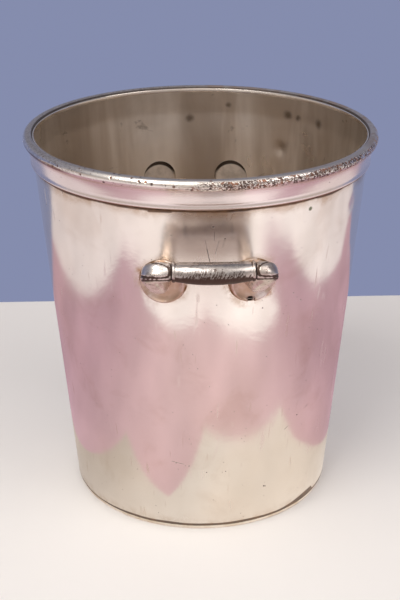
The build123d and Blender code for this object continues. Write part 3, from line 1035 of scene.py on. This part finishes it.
def cup_piece(name, node, side, turn, seed, outside, hollow, chipped=False):
    """A thin dish with a rolled, slightly beaten lip, hollow behind, its skirt on the wall."""
    cup = cup_frame(side, turn)
    columns = 144
    around = round_steps(columns)
    waves = waves_round(around, seed, 8, 1)
    face = curve_through([
        (0.01, CUP_DISH_H - 0.05), (3.0, CUP_DISH_H), (CUP_FLAT_R - 0.6, CUP_DISH_H + 0.04),
        (CUP_R - 2.5, CUP_DISH_H + 0.55), (CUP_R - 1.35, CUP_LIP_H - 0.45), (CUP_R - 0.8, CUP_LIP_H - 0.1),
        (CUP_R - 0.3, CUP_LIP_H - 0.2), (CUP_R, CUP_LIP_H - 0.9),
    ], 40)
    back_h = CUP_DISH_H - CUP_SHEET
    back = refine([(CUP_HOLLOW_R, back_h + 0.5), (CUP_HOLLOW_R - 0.5, back_h + 0.1), (0.01, back_h)], 0.8)
    rows = []
    for radius, height in face:
        inwards = CUP_R - radius
        lift = 0.07 * waves * smooth(5, 1.5, inwards) * smooth(0.2, 0.8, inwards)
        lift = lift - 0.12 * np.abs(waves) * smooth(1.1, 0.4, inwards)
        rows.append(polar(radius + 0.08 * waves * smooth(5, 2, inwards) * smooth(0.1, 0.8, inwards),
                          around, height + lift))
    for radius in (CUP_R, CUP_HOLLOW_R):
        foot = wall_level(radius * np.cos(around), radius * np.sin(around), cup)
        rows.append(polar(radius, around, foot + 0.02))
    rows += [polar(radius, around, height) for radius, height in back]
    points = place(np.array(rows), cup).reshape(-1, 3)
    obj = mesh_object(name, points, grid_faces(len(rows), columns), 50)
    split = len(face) + 1
    for polygon in obj.data.polygons:
        polygon.material_index = 0 if polygon.vertices[0] // columns < split else 1
    if chipped:
        chip_lip(obj, cup)
    return show(obj, node, outside, hollow)


# The bit missing from the right front cup's lip, in the cup's own frame
CHIP_OUTLINE = [(-3.4, -9.7), (-2.5, -9.3), (-1.8, -8.9), (-0.5, -9.3), (0.9, -9.2), (1.9, -10.5),
                (1.5, -11.8), (1.1, -13.0), (-2.5, -13.0), (-2.8, -11.6)]


def chip_lip(obj, cup):
    """Cuts the missing bit out of the lip."""
    low, high = 0.5, 5.0
    count = len(CHIP_OUTLINE)
    corners = [(x, y, z) for z in (low, high) for x, y in CHIP_OUTLINE]
    faces = [tuple(range(count)), tuple(range(2 * count - 1, count - 1, -1))]
    faces += [(k, (k + 1) % count, count + (k + 1) % count, count + k) for k in range(count)]
    cutter = mesh_object("chip_cutter", place(np.array(corners), cup), faces, 10)
    cut = obj.modifiers.new("chip", "BOOLEAN")
    cut.operation = "DIFFERENCE"
    cut.solver = "EXACT"
    cut.object = cutter
    depsgraph = bpy.context.evaluated_depsgraph_get()
    done = bpy.data.meshes.new_from_object(obj.evaluated_get(depsgraph))
    obj.modifiers.clear()
    obj.data = done
    bpy.data.objects.remove(cutter)


def cup_solder(name, node, side, turn, seed, material):
    """An uneven fillet of solder round a cup."""
    cup = cup_frame(side, turn)
    columns = 120
    around = round_steps(columns)
    waves = waves_round(around, seed, 13, 0.7)
    spread = CUP_R + 0.75 + 0.16 * waves + 0.5 * np.cos(around) ** 2
    rows = []
    for share, rise in ((0, 0.55), (0.25, 0.30), (0.6, 0.10), (1, -0.02), (1, -0.25), (0, -0.25)):
        radius = CUP_R - 0.03 + (spread - CUP_R) * share
        foot = wall_level(radius * np.cos(around), radius * np.sin(around), cup)
        rows.append(polar(radius, around, foot + rise * (1 + 0.2 * waves * (rise > 0))))
    points = place(np.array(rows), cup).reshape(-1, 3)
    obj = mesh_object(name, points, grid_faces(len(rows), columns))
    return show(obj, node, material)


def spun(point, turn):
    """A front-side point carried half round for the back handle."""
    x, y, z = np.moveaxis(np.asarray(point, float), -1, 0)
    return np.stack([x * cos(turn) - y * sin(turn), x * sin(turn) + y * cos(turn), z], -1)


# Groove round the pad on each elbow: distance outwards from the collar and height, in mm
PAD_GROOVE = [(10.0, 5.0), (6.6, 4.75), (3.4, 3.9), (1.5, 2.5), (0.7, 0.6), (0.9, -1.1), (2.0, -2.4),
              (4.4, -3.0), (8.5, -3.0), (12.5, -2.5), (15.5, -1.6)]
FRONT_TILT = radians(22)   # how far back the plane leans that the front's marks are placed on


def line_distance(x, y, corners):
    """Distance from each point to a line through corners."""
    nearest = np.full(x.shape, 1e9)
    for (x0, y0), (x1, y1) in zip(corners, corners[1:]):
        length_2 = (x1 - x0) ** 2 + (y1 - y0) ** 2
        t = np.clip(((x - x0) * (x1 - x0) + (y - y0) * (y1 - y0)) / length_2, 0, 1)
        nearest = np.minimum(nearest, np.hypot(x - x0 - t * (x1 - x0), y - y0 - t * (y1 - y0)))
    return nearest


def front_height(points):
    """Height of points over the bar's line, on a plane that leans back by FRONT_TILT."""
    return (points[..., 2] - BAR_Z) * cos(FRONT_TILT) + (points[..., 1] - BAR_Y) * sin(FRONT_TILT)


def facing_front(outward):
    """How far each outward direction faces that plane, from -1 to 1."""
    return outward[..., 2] * sin(FRONT_TILT) - outward[..., 1] * cos(FRONT_TILT)


def arm_piece(name, node, side, turn, seed, material):
    """A cast arm: foot, rise, blunt elbow with a grooved pad on its front, and a domed end."""
    origin, _, up, out = cup_frame(side, 0)
    start = origin + up * ARM_SEAT_UP + out * CUP_DISH_H
    collar_u = BAR_SHIFT + side * (BAR_HALF + COLLAR_W)
    corners = [start, start + out * ARM_STRAIGHT, (side * ARM_CORNER_U, BAR_Y, BAR_Z),
               (collar_u, BAR_Y, BAR_Z)]
    line, run = rounded_path(corners, [ARM_LOW_RADIUS, ARM_ELBOW_RADIUS], 0.32)
    centre, outward, around = tube_rings(line, 100)
    left = run[-1] - run
    knob = np.where(left < ARM_DOME, np.sqrt(np.clip(1 - (1 - left / ARM_DOME) ** 2, 0, 1)), 1)
    radius = ARM_R + 0.35 * np.exp(-(run / 0.9) ** 2) + 0.15 * smooth(4.5, 1.6, left)
    radius = ARM_FACE_R + (radius - ARM_FACE_R) * knob
    blunt = (2 + 1.2 * smooth(2.0, 6.0, left) * smooth(2.0, 10.0, run))[:, None]
    square = (np.abs(np.cos(around)) ** blunt + np.abs(np.sin(around)) ** blunt) ** (-1 / blunt)
    rng = np.random.default_rng(seed)
    phases = rng.uniform(0, 6, 2)
    share = (run / run[-1])[:, None]
    lumps = np.sin(2 * around + 9 * share + phases[0]) + np.sin(3 * around - 14 * share + phases[1])
    lumps = lumps * smooth(1, 5, run)[:, None] * smooth(0.3, 2, left)[:, None]
    rings = centre + outward * (radius[:, None] * square + 0.05 * lumps)[:, :, None]
    facing = facing_front(outward)
    seen = smooth(-0.15, 0.2, facing)
    from_collar = (rings[..., 0] - collar_u) * side
    height = front_height(rings)
    gap = line_distance(from_collar, height, PAD_GROOVE)
    mottle = np.sin(1.9 * from_collar + phases[0]) * np.sin(1.3 * height + 0.8 * from_collar + phases[1])
    mottle = 0.5 + 0.5 * mottle
    below = smooth(-1.0, -2.4, height)
    width = 0.32 + 0.35 * smooth(2.6, 0.9, from_collar) + 0.40 * below * mottle
    groove = np.exp(-(gap / width) ** 2) * seen
    rings = rings - outward * (0.42 * groove)[:, :, None]
    elbow = smooth(17, 13, left)[:, None]
    # Painted shade: a dark band along the elbow's lower edge.
    under = smooth(-3.6, -4.1, height) * smooth(-5.0, -4.5, height) * smooth(-0.3, 0.2, facing)
    under = under * elbow * (0.75 + 0.25 * mottle)
    # Partly tarnish and partly painted shade on the faces turned away from the front.
    underside_tarnish_and_shade = 0.38 * smooth(-0.1, -0.6, facing) * smooth(2, 8, run)[:, None]
    near_collar = 0.42 * smooth(2.4, 1.4, from_collar) * seen * (0.4 + 0.6 * mottle)
    outer_low = smooth(8, 10.5, from_collar) * smooth(-1.2, -2.4, height) * smooth(-4.8, -4.2, height)
    outer_low = 0.7 * outer_low * seen * elbow * (0.4 + 0.6 * mottle)
    grime_and_shade = np.clip(1.2 * groove + 0.8 * under + underside_tarnish_and_shade + near_collar + outer_low, 0, 1)
    return show(tube_object(name, spun(rings, turn), grime_and_shade), node, material)


def collar_piece(name, node, side, turn, material):
    """A turned ring between elbow and bar: a round bead with a fine groove each side."""
    middle = BAR_SHIFT + side * (BAR_HALF + COLLAR_W / 2)
    half = COLLAR_W / 2
    outline = np.vstack([
        [(2.5, -half), (4.3, -half), (4.5, -half + 0.1)],
        arc_points((COLLAR_R - 1.05, 0), 1.0, -70, 70, 15),
        [(4.5, half - 0.1), (4.3, half), (2.5, half)],
    ])
    columns = 96
    around = round_steps(columns)
    points = np.array([np.stack([middle + along + 0 * around, BAR_Y + radius * np.cos(around),
                                 BAR_Z + radius * np.sin(around)], -1) for radius, along in outline])
    edge = smooth(0.75, 1.05, np.abs(points[..., 0] - middle))
    # Painted shade on the underside of the collar.
    under = smooth(-3.0, -4.2, front_height(points))
    obj = mesh_object(name, spun(points, turn).reshape(-1, 3),
                      grid_faces(len(points), columns),
                      grime_and_shade=np.clip(edge + 0.8 * under, 0, 1))
    return show(obj, node, material)


def bar_piece(name, node, turn, seed, material):
    """The grip: swollen and bowed in the middle, beaten all over, its ends rounded in."""
    along = np.linspace(-1, 1, 150)
    swell = 1 - along ** 2
    line = np.stack([BAR_SHIFT + along * BAR_HALF, BAR_Y - BAR_BOW * swell, 0 * along + BAR_Z], -1)
    centre, outward, around = tube_rings(line, 110)
    radius = BAR_END_R + (BAR_MID_R - BAR_END_R) * swell
    from_end = (1 - np.abs(along)) * BAR_HALF
    inset = np.clip(1 - from_end / BAR_ROUND, 0, 1)
    radius = radius - BAR_ROUND * (1 - np.sqrt(1 - inset ** 2))
    rng = np.random.default_rng(seed)
    dents = np.zeros((len(along), len(around)))
    for _ in range(120):
        at, facing, size = rng.uniform(-0.95, 0.95), rng.uniform(0, 2 * pi), rng.uniform(0.8, 1.9)
        apart = wrapped(around - facing) * BAR_MID_R
        away = np.hypot(((along - at) * BAR_HALF)[:, None], apart[None, :]) / size
        dents += rng.uniform(0.03, 0.09) * np.exp(-away ** 2)
    rings = centre + outward * (radius[:, None] - np.minimum(dents, 0.25))[:, :, None]
    nicks = np.zeros_like(dents)
    height = front_height(rings) + BAR_BOW * swell[:, None] * sin(FRONT_TILT)
    for _ in range(190):
        at, low = rng.normal(2.0, 9.0), rng.normal(-1.9, 1.1)
        length, lean = rng.uniform(0.4, 2.1), rng.uniform(0.1, 0.7)
        stroke = [(at, low), (at + lean * length, low + length)]
        nicks = np.maximum(nicks, np.exp(-(line_distance(rings[..., 0], height, stroke) / 0.19) ** 2))
    facing = facing_front(outward)
    nicks = nicks * smooth(-0.1, 0.3, facing)
    # Partly tarnish and partly painted shade: the ragged dark lower third of the bar.
    under = smooth(-1.3, -3.8, height) * smooth(-6.1, -5.6, height)
    rings = rings - outward * (0.10 * nicks)[:, :, None]
    ends = smooth(BAR_ROUND, 0.0, from_end)[:, None] * np.ones_like(dents)
    # Partly tarnish and partly painted shade on the faces turned away from the front.
    underside_tarnish_and_shade = 0.42 * smooth(0.1, -0.4, facing)
    grime_and_shade = np.clip(0.7 * nicks + 0.8 * under + ends + underside_tarnish_and_shade, 0, 1)
    return show(tube_object(name, spun(rings, turn), grime_and_shade), node, material)


def handle(which, turn, seed, paints):
    """Every piece of one handle."""
    bar_piece(which + "_bar", which + "_grip_bar", turn, seed, paints["cast"])
    for name, side in (("left", -1), ("right", 1)):
        piece = which + "_" + name
        chipped = which == "front" and name == "right"
        arm_piece(piece + "_elbow", piece + "_arm", side, turn, seed + side, paints["cast"])
        collar_piece(piece + "_ring", piece + "_collar", side, turn, paints["cast"])
        cup_piece(piece + "_dish", piece + "_cup", side, turn, seed + 3 + side, paints["cup"],
                  paints["recess"], chipped)
        cup_solder(piece + "_fillet", piece + "_solder", side, turn, seed + 7 + side, paints["cup_solder"])


# ---------------------------------------------------------------- marks placed one by one


def on_wall(azimuth, z):
    """A point on the outer face, its azimuth in degrees."""
    return tuple(from_azimuth(outer_r(z), np.array(radians(azimuth)), z))


def inside_wall(azimuth, z):
    """A point on the inner face, its azimuth measured from the back handle towards +X."""
    return tuple(from_azimuth(outer_r(z) - SHELL_T, np.array(pi - radians(azimuth)), z))


# Azimuth and height of each end, and the width
SCRATCH_LINES = [(on_wall(*start), on_wall(*end), width) for start, end, width in (
    ((-0.9, 193.7), (-0.2, 187.5), 0.22), ((-0.3, 188.5), (0.6, 181.0), 0.38),
    ((2.0, 198.2), (2.0, 193.3), 0.26), ((3.5, 193.2), (2.3, 185.3), 0.24),
    ((5.4, 194.3), (4.6, 188.8), 0.20), ((-14, 49), (-9, 47.5), 0.16), ((33, 63), (45, 74), 0.18),
)]
# Azimuth, height and size
DARK_SPOTS = [(on_wall(azimuth, z), size) for azimuth, z, size in (
    (1.6, 201.4, 0.95), (5.4, 194.2, 0.55), (39.3, 70.2, 0.7), (19.3, 149.4, 0.5), (31.4, 154.8, 0.5),
    (34.9, 149.0, 0.5), (33.0, 151.5, 0.4), (-12.3, 48.0, 0.4), (-7.1, 46.4, 0.5), (25.1, 26.2, 0.8),
    (25.8, 25.8, 0.6), (0.0, 41.9, 0.5), (7.8, 41.9, 0.5),
)]
ORANGE_SPOTS = [(on_wall(azimuth, z), size) for azimuth, z, size in (
    (-23.4, 166, 5.5), (-23.0, 172, 4.0), (23.6, 164, 5.0), (22.8, 158.5, 4.0), (6.4, 163, 2.6),
)]
INNER_STAINS = [(inside_wall(azimuth, z), size) for azimuth, z, size in (
    (-1.8, 207.6, 2.2), (13.1, 216.7, 1.6), (38.1, 214.5, 2.4), (42.5, 213.5, 1.6), (52.8, 212.7, 2.4),
)]
RIM_SMEAR = (on_wall(-18.5, 209.5), on_wall(-11.5, 210.0), 1.3)
GREEN_SPOT = on_wall(35.2, 204.6)
DARK_STREAK_X = 4.0


def in_cup(side, x, y):
    """A point just over the dish of a front cup, side -1 for the left one."""
    return tuple(place(np.array([x, y, CUP_DISH_H + 0.5]), cup_frame(side, 0)))


CUP_CRACKS = [
    (in_cup(1, -0.6, -6.4), in_cup(1, 1.9, -4.4), 0.26),
    (in_cup(1, 1.6, -4.7), in_cup(1, 2.3, -4.2), 0.50),
    (in_cup(-1, 1.6, -8.4), in_cup(-1, 2.6, -8.3), 0.42),
]

# ---------------------------------------------------------------- build

paints = {
    "outside": outside_silver(), "inside": inside_silver(), "bead": bead_silver(), "band": band_silver(),
    "solder": solder(), "cup_solder": cup_solder_paint(), "cup": cup_silver(), "recess": recess_dark(),
    "edge": cut_edge(), "cast": cast_silver(), "foot": foot_silver(), "floor": floor_silver(),
}
body_shell(paints["outside"], paints["inside"], paints["edge"])
rim_bead(paints["bead"])
rim_band(paints["band"])
rim_seam(paints["solder"])
foot_ring(paints["foot"])
foot_seam(paints["solder"])
bottom_plate(paints["floor"])
bottom_solder(paints["solder"])
handle("front", 0.0, 100, paints)
handle("back", pi, 200, paints)

# ---------------------------------------------------------------- studio

# Metres from here on
FLOOR_BACK = 0.275
FLOOR_FRONT = -1.6
FLOOR_HALF = 1.3
FLOOR_COLOUR = (0.80, 0.775, 0.75)
FLOOR_ROUGHNESS = 0.6
SKY_DIRECTION = (-0.20, -0.60, 0.77)

CAMERA_TURN = radians(2.3)
CAMERA_OUT = 0.7487
CAMERA_UP = 0.4382
CAMERA_DIP = 0.40535
CAMERA_ROLL = 0.0014
CAMERA_LENS = 77.9
CAMERA_SENSOR = 36

FLOOR_OUTLINE = [(-FLOOR_HALF, FLOOR_FRONT), (FLOOR_HALF, FLOOR_FRONT), (FLOOR_HALF, FLOOR_BACK),
                 (-FLOOR_HALF, FLOOR_BACK)]
ROSE_OUTLINE = [(-0.10, 0.274), (-0.345, 0.274), (-0.325, -0.10), (-0.325, -0.24), (-0.25, -0.285),
                (-0.21, -0.255), (-0.12, -0.27), (0.01, -0.315), (0.10, -0.27), (0.18, -0.22),
                (0.25, -0.19), (0.225, -0.33), (0.30, -0.325), (0.355, -0.22), (0.345, -0.08),
                (0.369, 0.15), (0.45, 0.274), (0.10, 0.274), (0.085, 0.10), (-0.085, 0.10)]
PALE_OUTLINE = [(-0.125, -0.097), (-0.036, -0.100), (0.0, -0.175), (0.145, -0.112), (0.100, 0.030),
                (0.07, 0.10), (-0.09, 0.10), (-0.105, 0.025)]
SHADE_OUTLINE = [(-0.17, -0.80), (0.26, -0.80), (0.22, -0.36), (0.02, -0.39), (-0.15, -0.37)]

# Name, outline, inner and outer colour, centre of the inner colour, and reach of the outer one
CARDS = [
    ("far_card", FLOOR_OUTLINE, ((1.10, 1.02, 1.01), (0.76, 0.69, 0.71)), (0.10, -0.5), (0.8, 0.8)),
    ("rose_card", ROSE_OUTLINE, ((0.76, 0.545, 0.57), (0.49, 0.315, 0.375)), (0.01, -0.24), (0.34, 0.42)),
    ("pale_card", PALE_OUTLINE, ((0.86, 0.79, 0.73), (0.50, 0.43, 0.38)), (0.05, -0.12), (0.22, 0.25)),
    ("shade_card", SHADE_OUTLINE, ((0.30, 0.22, 0.18), (0.36, 0.27, 0.22)), (0.05, -0.6), (0.3, 0.3)),
]
LOWEST_CARD = 0.0004       # height of the first card; each later one lies CARD_GAP over the one before
CARD_GAP = 0.0002

# Name, place, side of the square, power and colour
LIGHTS = [
    ("key", (-0.55, -0.75, 1.25), 0.8, 9.5, (1.0, 0.98, 0.95)),
    ("fill", (0.9, -0.6, 1.0), 0.8, 4.5, (1.0, 0.97, 0.94)),
]
LIGHT_TARGET = (0, 0, 0.1)


def floor_paint():
    """The plain pale floor."""
    p = Paint("floor_pale")
    shader = p.nodes["Principled BSDF"].inputs
    p.feed(shader["Base Color"], (*FLOOR_COLOUR, 1))
    p.feed(shader["Roughness"], FLOOR_ROUGHNESS)
    return p.owner


def stage_sheet(name, outline, height, material):
    """A flat sheet on or over the floor."""
    work = bmesh.new()
    corners = [work.verts.new((x, y, height)) for x, y in outline]
    edges = [work.edges.new(pair) for pair in zip(corners, corners[1:] + corners[:1])]
    bmesh.ops.triangle_fill(work, edges=edges, use_beauty=True)
    bmesh.ops.recalc_face_normals(work, faces=work.faces)
    if sum(face.normal.z for face in work.faces) < 0:
        bmesh.ops.reverse_faces(work, faces=work.faces)
    mesh = bpy.data.meshes.new(name)
    work.to_mesh(mesh)
    work.free()
    mesh.materials.append(material)
    obj = bpy.data.objects.new(name, mesh)
    bpy.context.scene.collection.objects.link(obj)
    return obj


def reflected_card(name, outline, height, colours, centre, reach):
    """A glowing card that only reflections see. Its two colours blend outwards from centre over reach."""
    p = Paint(name)
    squash = p.node("ShaderNodeMapping", {
        "Vector": p.place, "Location": (-centre[0] / reach[0], -centre[1] / reach[1], 0),
        "Scale": (1 / reach[0], 1 / reach[1], 0)})
    away = p.node("ShaderNodeVectorMath", {0: squash.outputs[0]}, operation="LENGTH").outputs["Value"]
    swing = p.node("ShaderNodeMapRange", {0: p.noise(9, 4), 1: 0.3, 2: 0.7, 3: 0.86, 4: 1.14})
    glow = p.node("ShaderNodeEmission", {"Color": p.mix(p.step(away, 0.15, 1.0), *colours),
                                         "Strength": swing.outputs[0]})
    p.feed(p.nodes["Material Output"].inputs["Surface"], glow.outputs[0])
    obj = stage_sheet(name, outline, height, p.owner)
    obj.visible_camera = False
    obj.visible_diffuse = False
    obj.visible_shadow = False
    obj.visible_transmission = False


def area_light(name, place_m, side, power, colour):
    """A square lamp turned towards the object."""
    light = bpy.data.lights.new(name, "AREA")
    light.shape = "RECTANGLE"
    light.size = light.size_y = side
    light.energy = power
    light.color = colour
    obj = bpy.data.objects.new(name, light)
    obj.location = place_m
    obj.rotation_euler = (Vector(LIGHT_TARGET) - Vector(place_m)).to_track_quat("-Z", "Y").to_euler()
    bpy.context.scene.collection.objects.link(obj)


def world():
    """Soft daylight from above the front, a pale blue-grey wall behind, warm grey low in front."""
    made = bpy.data.worlds.new("studio")
    bpy.context.scene.world = made
    p = Paint(made, "Generated")
    towards = p.node("ShaderNodeVectorMath", {0: p.place, 1: SKY_DIRECTION}, operation="DOT_PRODUCT")
    low = p.mix(p.step(p.axis(1), 0.0, 0.3), (0.50, 0.44, 0.40), (0.235, 0.265, 0.42))
    high = p.mix(p.step(towards.outputs["Value"], 0.45, 0.92), (0.26, 0.26, 0.31), (1.05, 1.0, 0.95))
    background = p.nodes["Background"].inputs
    p.feed(background["Color"], p.mix(p.step(p.axis(2), 0.0, 0.35), low, high))
    p.feed(background["Strength"], 1.0)


def camera():
    """A long lens looking down at the front, turned slightly towards the left of the handle."""
    made = bpy.data.cameras.new("camera")
    made.sensor_width = CAMERA_SENSOR
    made.lens = CAMERA_LENS
    obj = bpy.data.objects.new("camera", made)
    obj.location = (-CAMERA_OUT * sin(CAMERA_TURN), -CAMERA_OUT * cos(CAMERA_TURN), CAMERA_UP)
    obj.rotation_euler = (pi / 2 - CAMERA_DIP, CAMERA_ROLL, -CAMERA_TURN)
    bpy.context.scene.collection.objects.link(obj)
    bpy.context.scene.camera = obj


stage_sheet("floor", FLOOR_OUTLINE, 0.0, floor_paint())
for number, (name, outline, colours, centre, reach) in enumerate(CARDS):
    reflected_card(name, outline, LOWEST_CARD + number * CARD_GAP, colours, centre, reach)
world()
for lamp in LIGHTS:
    area_light(*lamp)
camera()

scene = bpy.context.scene
scene.view_settings.view_transform = "Standard"
scene.view_settings.look = "None"
